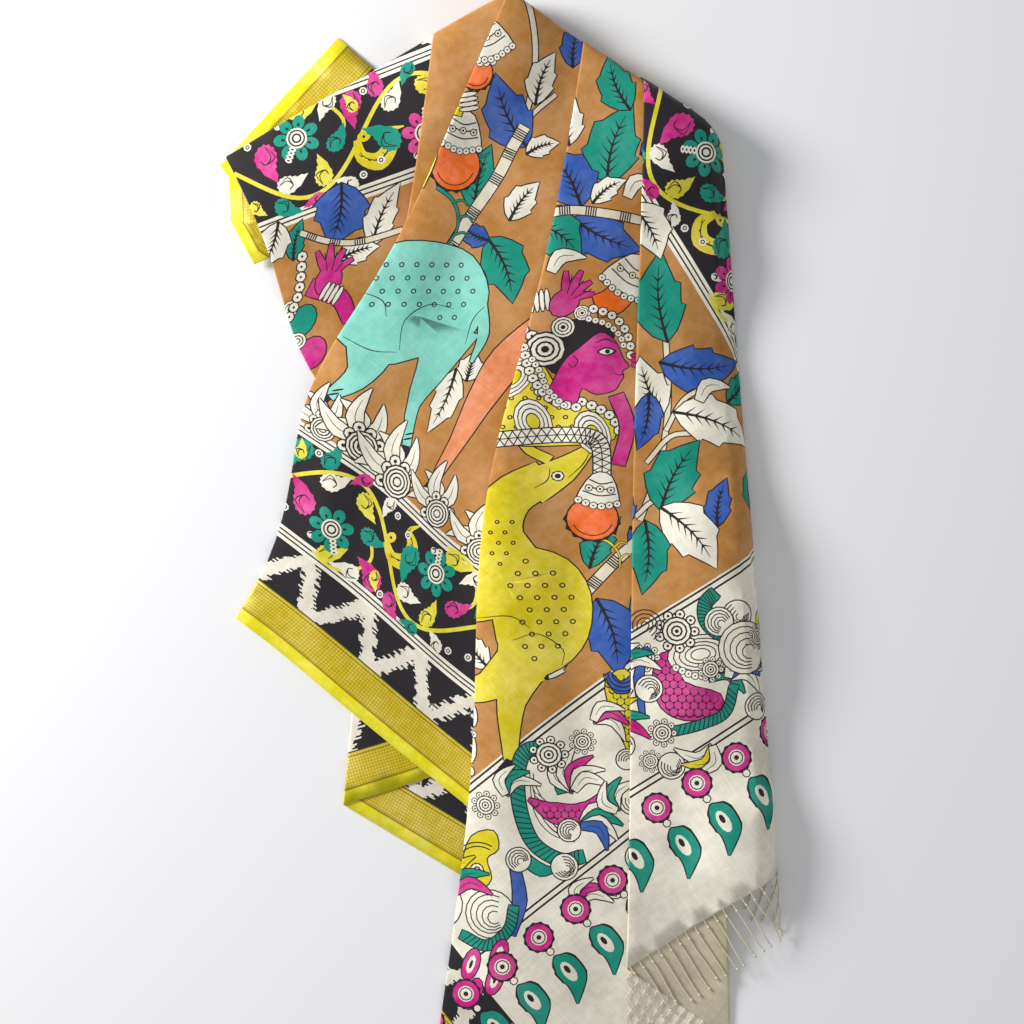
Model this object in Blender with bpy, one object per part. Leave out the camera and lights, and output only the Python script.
"""A kalamkari stole, one woven length with a knotted fringe, laid on a surface in knife pleats with its
shoulder end turned under. Metres, +Z up, the surface at z = 0, origin under the middle of its outline.

The cloth is worked out as a maker would lay it: the flat cloth, then one fold after another. Each fold
rolls what lies beyond a straight line under the rest. Every point keeps a height in layers, and the
layers then settle on whatever lies below them."""

import math
from collections import namedtuple

import bpy
import numpy as np
from mathutils import Vector
from mathutils.geometry import delaunay_2d_cdt

MM = 0.001
WIDTH = 1030.0  # across the cloth, selvedge to selvedge, in mm
END = 895.0  # the fringed end, along the cloth from the hem corner of the lower pleat
START = -1500.0  # the hidden end
THICK = 1.0  # of the cloth
PITCH = 2.1  # from one layer to the next
NOSE = 0.8  # radius of the tightest fold
LAYER_ROLL = 0.4 * PITCH  # what each further layer adds to a fold's radius
TOP_LAYER = 8  # the layer that the fringed end lies in
MIDDLE = (-10.7, -113.8)
FRINGE_LENGTH = 72.0
FRINGE_BAR = 6.0
FRINGE_PITCH = 22.0
STRAND = 4.0  # a strand's width at its knot
FRINGE_GAP = 1.0  # between the cloth's edge and the fringe
GRID = 62.0  # mesh size on the flat cloth
FRINGED = 150.0  # the stretch by the fringe that has a finer mesh
CELL = 5.0  # of the grid that the layers settle on
SPREAD = 9  # cells that a layer holds up the next one beyond its own edge
SOFTEN = 4  # cells that its edge is then eased over, twice

# The fringed end's own direction: where its flat corner lies, and which way its length runs.
FIRST_CORNER = (-692.0, 86.0)
FIRST_RUN = math.radians(-57.44)

# One row a fold, in the order they are made, in mm. The line runs from its upper to its lower end.
# side: +1 where the cloth beyond the line is to the right, -1 to the left.
# cloth: "rest" turns what is left of the flat cloth beyond the pleats so far, "all" turns everything that
# lies beyond the line, and "last" only what the fold before has turned. under: the layer it turns about.
# inner: the layer with the tightest roll.
Fold = namedtuple("Fold", "name upper lower side cloth under inner steps")
FOLDS = (
    Fold("right_pleat_edge", (133, 427), (123, -128), -1, "rest", 7.5, 7.5, 2),
    Fold("right_pleat_back", (188, 427), (206, -128), 1, "rest", 6.5, 6.5, 2),
    Fold("middle_pleat_edge", (73, 467), (-67, -488), -1, "rest", 5.5, 5.5, 2),
    Fold("middle_pleat_back", (146, 512), (119, -488), 1, "rest", 4.5, 4.5, 2),
    Fold("left_pleat_edge", (-19, 477), (-275, -128), -1, "rest", 3.5, 3.5, 2),
    Fold("left_pleat_back", (148, 512), (228, -488), 1, "rest", 2.5, 2.5, 2),
    Fold("hidden_edge", (-72, 512), (-192, -488), -1, "rest", 1.5, 1.5, 2),
    Fold("hidden_back", (195, 512), (101.5, -488), 1, "rest", 0.5, 0.5, 2),
    Fold("shoulder_side", (-283, 352), (-184, 172), -1, "rest", -0.5, -0.5, 2),
    Fold("shoulder_top", (8, 507), (195, 382), 1, "all", -1.5, -1.5, 4),
    Fold("neck_under", (8, 522), (-272, 364), -1, "all", -11.5, -1.5, 4),
    Fold("neck_back", (8, 484), (-272, 293), 1, "last", -23.5, -23.5, 4),
    Fold("right_side", (191, 412), (256, -438), 1, "all", -25.5, -11.5, 4),
)

# The pleats aren't quite straight. Each row sways every layer about a centre, in mm.
Sway = namedtuple("Sway", "centre shift reach_x reach_y")
SWAYS = (
    Sway((-190, 140), (-34, 0), 100, 120),
    Sway((-15, 20), (-32, 0), 90, 220),
    Sway((-250, -160), (-12, 14), 70, 70),
)

# Soft ridges that lift the upper layers, in mm: each runs from one end to the other.
Ridge = namedtuple("Ridge", "start end height spread")
RIDGES = (
    Ridge((3, 10), (3, -480), 12, 45),
    Ridge((-30, 440), (-190, 60), 6, 50),
    Ridge((-190, 60), (-250, -130), 5, 50),
    Ridge((40, 380), (-30, 60), 7, 50),
    Ridge((120, 400), (90, 20), 6, 45),
    Ridge((150, -40), (215, -380), 8, 50),
)


def fold_line(fold):
    """A point on the fold and the direction that points beyond it."""
    upper = np.array(fold.upper, float)
    run = np.array(fold.lower, float) - upper
    run /= np.linalg.norm(run)
    return upper, fold.side * np.array((-run[1], run[0]))


def turn_about(fold, place, level, rest, last):
    """Rolls what lies beyond one fold under the rest. place is (n, 2) in mm, level counts layers."""
    point, out = fold_line(fold)
    beyond = (place - point) @ out
    moves = (beyond > 0) & {"rest": rest, "all": True, "last": last}[fold.cloth]
    radius = NOSE + LAYER_ROLL * np.maximum(0, level - fold.inner)
    angle = np.clip(beyond / radius, 0, math.pi)
    past = np.maximum(0, beyond - math.pi * radius)
    shift = np.where(moves, radius * np.sin(angle) - past - beyond, 0)
    swing = np.where(moves, np.cos(angle), 1)
    place = place + shift[:, None] * out
    level = fold.under + (level - fold.under) * swing
    return place, level, moves if fold.cloth == "rest" else rest, moves


def fold_cloth(flat):
    """Flat cloth points (across, along) in mm to their place in plan, in mm, and their level."""
    run = np.array((math.cos(FIRST_RUN), math.sin(FIRST_RUN)))
    across = np.array((-run[1], run[0]))
    place = np.array(FIRST_CORNER) + flat[:, :1] * across + flat[:, 1:] * run
    level = np.full(len(flat), float(TOP_LAYER))
    rest = last = np.ones(len(flat), bool)
    for fold in FOLDS:
        place, level, rest, last = turn_about(fold, place, level, rest, last)
    reach = [np.exp(-(((place - sway.centre) / (sway.reach_x, sway.reach_y)) ** 2).sum(1)) for sway in SWAYS]
    for sway, share in zip(SWAYS, reach):
        place = place + share[:, None] * sway.shift
    return place, level


def spread_out(cover, cells):
    """Each covered cell also covers those within a square of this many cells about it."""
    for axis in (1, 2):
        total = cover.copy()
        for step in range(1, cells + 1):
            total = np.maximum(total, np.roll(cover, step, axis))
            total = np.maximum(total, np.roll(cover, -step, axis))
        cover = total
    return cover


def soften(cover, cells):
    for axis in (1, 2):
        total = cover.copy()
        for step in range(1, cells + 1):
            total += np.roll(cover, step, axis) + np.roll(cover, -step, axis)
        cover = total / (2 * cells + 1)
    return cover


def settle_layers():
    """How high each layer lies over the surface at each cell, in layers: those below it, added up."""
    step = CELL * 0.8
    across, along = np.meshgrid(np.arange(0, WIDTH, step), np.arange(START, END + FRINGE_LENGTH, step))
    flat = np.column_stack((across.ravel(), along.ravel()))
    place, level = fold_cloth(flat)
    bottom = int(level.min().round())
    low = place.min(0) - CELL * (SPREAD + 2 * SOFTEN + 3)
    size = ((place.max(0) - low) / CELL).astype(int) + SPREAD + 2 * SOFTEN + 4
    cover = np.zeros((TOP_LAYER - bottom + 1, size[0], size[1]), np.float32)
    lies = np.abs(level - level.round()) < 0.01
    cell = ((place[lies] - low) / CELL).round().astype(int)
    cover[level[lies].round().astype(int) - bottom, cell[:, 0], cell[:, 1]] = 1
    cover = spread_out(cover, SPREAD)
    for _ in range(2):
        cover = soften(cover, SOFTEN)
    height = np.cumsum(cover, axis=0) - cover
    return low, bottom, height


LOW, BOTTOM, HEIGHT = settle_layers()


def ridge_lift(place):
    """How far the ridges lift the uppermost layer."""
    lift = np.zeros(len(place))
    for ridge in RIDGES:
        start = np.array(ridge.start, float)
        run = np.array(ridge.end, float) - start
        share = np.clip((place - start) @ run / (run @ run), 0, 1)
        away = np.linalg.norm(place - start - share[:, None] * run, axis=1)
        lift += ridge.height * np.exp(-((away / ridge.spread) ** 2))
    return lift


def settled(place, level):
    """The height of each point over the surface, in mm."""
    cell = (place - LOW) / CELL
    corner = np.clip(cell.astype(int), 0, np.array(HEIGHT.shape[1:]) - 2)
    part = np.clip(cell - corner, 0, 1)
    floor = np.clip(np.floor(level).astype(int) - BOTTOM, 0, len(HEIGHT) - 1)
    above = np.minimum(floor + 1, len(HEIGHT) - 1)
    found = np.zeros(len(place))
    for layer, weight in ((floor, 1 - (level - np.floor(level))), (above, level - np.floor(level))):
        for dx in (0, 1):
            for dy in (0, 1):
                share = np.abs(1 - dx - part[:, 0]) * np.abs(1 - dy - part[:, 1])
                found += weight * share * HEIGHT[layer, corner[:, 0] + dx, corner[:, 1] + dy]
    raised = np.clip((level + 1.5) / (TOP_LAYER + 1.5), 0, 1)
    return found * PITCH + ridge_lift(place) * raised


def laid(flat):
    """Flat cloth points in mm to points of the folded cloth's middle surface, in metres."""
    place, level = fold_cloth(np.asarray(flat, float))
    height = settled(place, level) + THICK / 2
    return np.column_stack((place - np.array(MIDDLE), height)) * MM


# The flat cloth is cut into cells by its folds, so that the mesh has an edge along each of them.
Cell = namedtuple("Cell", "outline corner across run level rest last")


def split(outline, values, limit):
    """The outline's two parts, where the values are under the limit and over it."""
    parts = ([], [])
    for here in range(len(outline)):
        there = (here + 1) % len(outline)
        a, b = values[here] - limit, values[there] - limit
        parts[int(a > 0)].append(outline[here])
        if a * b < 0:
            crossing = outline[here] + (outline[there] - outline[here]) * a / (a - b)
            parts[0].append(crossing)
            parts[1].append(crossing)
    return [np.array(part) for part in parts]


def level_line(outline, values, limit):
    """The two points where a line of this value crosses the outline."""
    found = []
    for here in range(len(outline)):
        there = (here + 1) % len(outline)
        a, b = values[here] - limit, values[there] - limit
        if a * b < 0:
            found.append(outline[here] + (outline[there] - outline[here]) * a / (a - b))
    return found if len(found) == 2 else None


def crease_lines(outline):
    """Every fold's lines on the flat cloth, as pairs of points."""
    run = np.array((math.cos(FIRST_RUN), math.sin(FIRST_RUN)))
    first = Cell(np.array(outline, float), np.array(FIRST_CORNER), np.array((-run[1], run[0])), run,
                 TOP_LAYER, True, True)
    cells = [first]
    lines = []
    for fold in FOLDS:
        point, out = fold_line(fold)
        kept = []
        for cell in cells:
            place = cell.corner + cell.outline[:, :1] * cell.across + cell.outline[:, 1:] * cell.run
            beyond = (place - point) @ out
            stays = cell._replace(rest=cell.rest and fold.cloth != "rest", last=False)
            turns = {"rest": cell.rest, "all": True, "last": cell.last}[fold.cloth]
            if not turns or beyond.max() <= 0:
                kept.append(stays)
                continue
            arc = math.pi * (NOSE + LAYER_ROLL * max(0, cell.level - fold.inner))
            for step in range(fold.steps + 1):
                line = level_line(cell.outline, beyond, arc * step / fold.steps)
                if line:
                    lines.append(line)
            near, far = split(cell.outline, beyond, arc / 2)
            if len(near) > 2:
                kept.append(stays._replace(outline=near))
            if len(far) > 2:
                corner = cell.corner - (2 * (cell.corner - point) @ out - arc) * out
                across = cell.across - 2 * (cell.across @ out) * out
                along = cell.run - 2 * (cell.run @ out) * out
                level = 2 * fold.under - cell.level
                kept.append(Cell(far, corner, across, along, level, cell.rest, True))
        cells = kept
    return lines


def stepped(start, end, size):
    """Points from one end of a line to the other, no further apart than this."""
    count = max(1, math.ceil(np.linalg.norm(end - start) / size))
    return [start + (end - start) * step / count for step in range(count + 1)]


def cut_cloth(outline, size):
    """Flat triangles over an outline, with edges along the folds. Their printed side is up."""
    points = []
    edges = []

    def add_line(start, end):
        run = stepped(np.array(start, float), np.array(end, float), size)
        edges.extend((len(points) + step, len(points) + step + 1) for step in range(len(run) - 1))
        points.extend(run)

    ring = []
    for here, there in zip(outline, outline[1:] + outline[:1]):
        run = stepped(np.array(here, float), np.array(there, float), size)[:-1]
        ring.extend(range(len(points), len(points) + len(run)))
        points.extend(run)
    for start, end in crease_lines(rectangle(outline)):
        add_line(start, end)
    low, high = np.min(outline, 0), np.max(outline, 0)
    for start, step in ((low[1], size), (max(low[1], END - FRINGED), size / 2)):
        clear = np.array(points)
        for across in np.arange(low[0] + step / 2, high[0], step):
            for along in np.arange(start + step / 2, high[1], step):
                spot = np.array((across, along))
                if np.linalg.norm(clear - spot, axis=1).min() > step * 0.45:
                    points.append(spot)
    flat = [Vector(point) for point in points]
    found = delaunay_2d_cdt(flat, edges, [ring], 0, 0.05, True)
    spots = np.array([tuple(spot) for spot in found[0]])
    faces = np.array([tuple(face) for face, inside in zip(found[2], found[5]) if inside])
    first, second, third = (spots[faces[:, corner]] for corner in range(3))
    turned = np.cross(second - first, third - first) > 0
    faces[turned] = faces[turned][:, ::-1]
    return spots, faces


def rectangle(outline):
    low, high = np.min(outline, 0), np.max(outline, 0)
    return [(low[0], low[1]), (high[0], low[1]), (high[0], high[1]), (low[0], high[1])]


def thick_cloth(name, outline, size, material):
    """One closed solid of the cloth's thickness over a flat outline, folded and laid."""
    spots, faces = cut_cloth(outline, size)
    used = np.unique(faces)
    renumber = np.zeros(len(spots), int)
    renumber[used] = np.arange(len(used))
    faces = renumber[faces]
    middle = laid(spots[used])
    sides = np.cross(middle[faces[:, 1]] - middle[faces[:, 0]], middle[faces[:, 2]] - middle[faces[:, 0]])
    normals = np.zeros_like(middle)
    for corner in range(3):
        np.add.at(normals, faces[:, corner], sides)
    normals /= np.linalg.norm(normals, axis=1)[:, None]
    half = normals * THICK / 2 * MM
    count = len(middle)
    corners = [tuple(point) for point in np.concatenate((middle + half, middle - half))]
    printed = [tuple(int(corner) for corner in face) for face in faces]
    plain = [tuple(corner + count for corner in reversed(face)) for face in printed]
    once = {}
    for face in printed:
        for here, there in zip(face, face[1:] + face[:1]):
            once[(here, there)] = True
    walls = [(there, here, here + count, there + count) for here, there in once if (there, here) not in once]
    mesh = bpy.data.meshes.new(name)
    mesh.from_pydata(corners, [], printed + plain + walls)
    mesh.update()
    mesh.materials.append(material)
    body = bpy.data.objects.new(name, mesh)
    bpy.context.collection.objects.link(body)
    return body


def finish(name, colour, roughness):
    material = bpy.data.materials.new(name)
    material.use_nodes = True
    shader = material.node_tree.nodes["Principled BSDF"]
    shader.inputs["Base Color"].default_value = (*colour, 1)
    shader.inputs["Roughness"].default_value = roughness
    return material


def make_cloth():
    outline = [(0, START), (WIDTH, START), (WIDTH, END), (0, END)]
    return thick_cloth("stole_cloth", outline, GRID, finish("printed cloth", (0.5, 0.26, 0.08), 0.75))


def make_fringe():
    """One comb along the fringed end: a narrow bar with a tapered tooth for each knotted strand."""
    root = END + FRINGE_GAP
    bar = root + FRINGE_BAR
    tip = root + FRINGE_LENGTH
    outline = [(0, root), (WIDTH, root), (WIDTH, bar)]
    for middle in np.arange(WIDTH - FRINGE_PITCH / 2, FRINGE_PITCH / 4, -FRINGE_PITCH):
        outline.append((middle + STRAND / 2, bar))
        outline.append((middle + STRAND / 4, tip))
        outline.append((middle - STRAND / 4, tip))
        outline.append((middle - STRAND / 2, bar))
    outline.append((0, bar))
    return thick_cloth("fringe", outline, GRID, finish("undyed yarn", (0.75, 0.68, 0.52), 0.9))


def main():
    for old in list(bpy.data.objects):
        bpy.data.objects.remove(old, do_unlink=True)
    for body in (make_cloth(), make_fringe()):
        box = np.array([corner[:] for corner in body.bound_box])
        triangles = sum(len(face.vertices) - 2 for face in body.data.polygons)
        print(body.name, triangles, "triangles", box.min(0).round(4), box.max(0).round(4))


main()
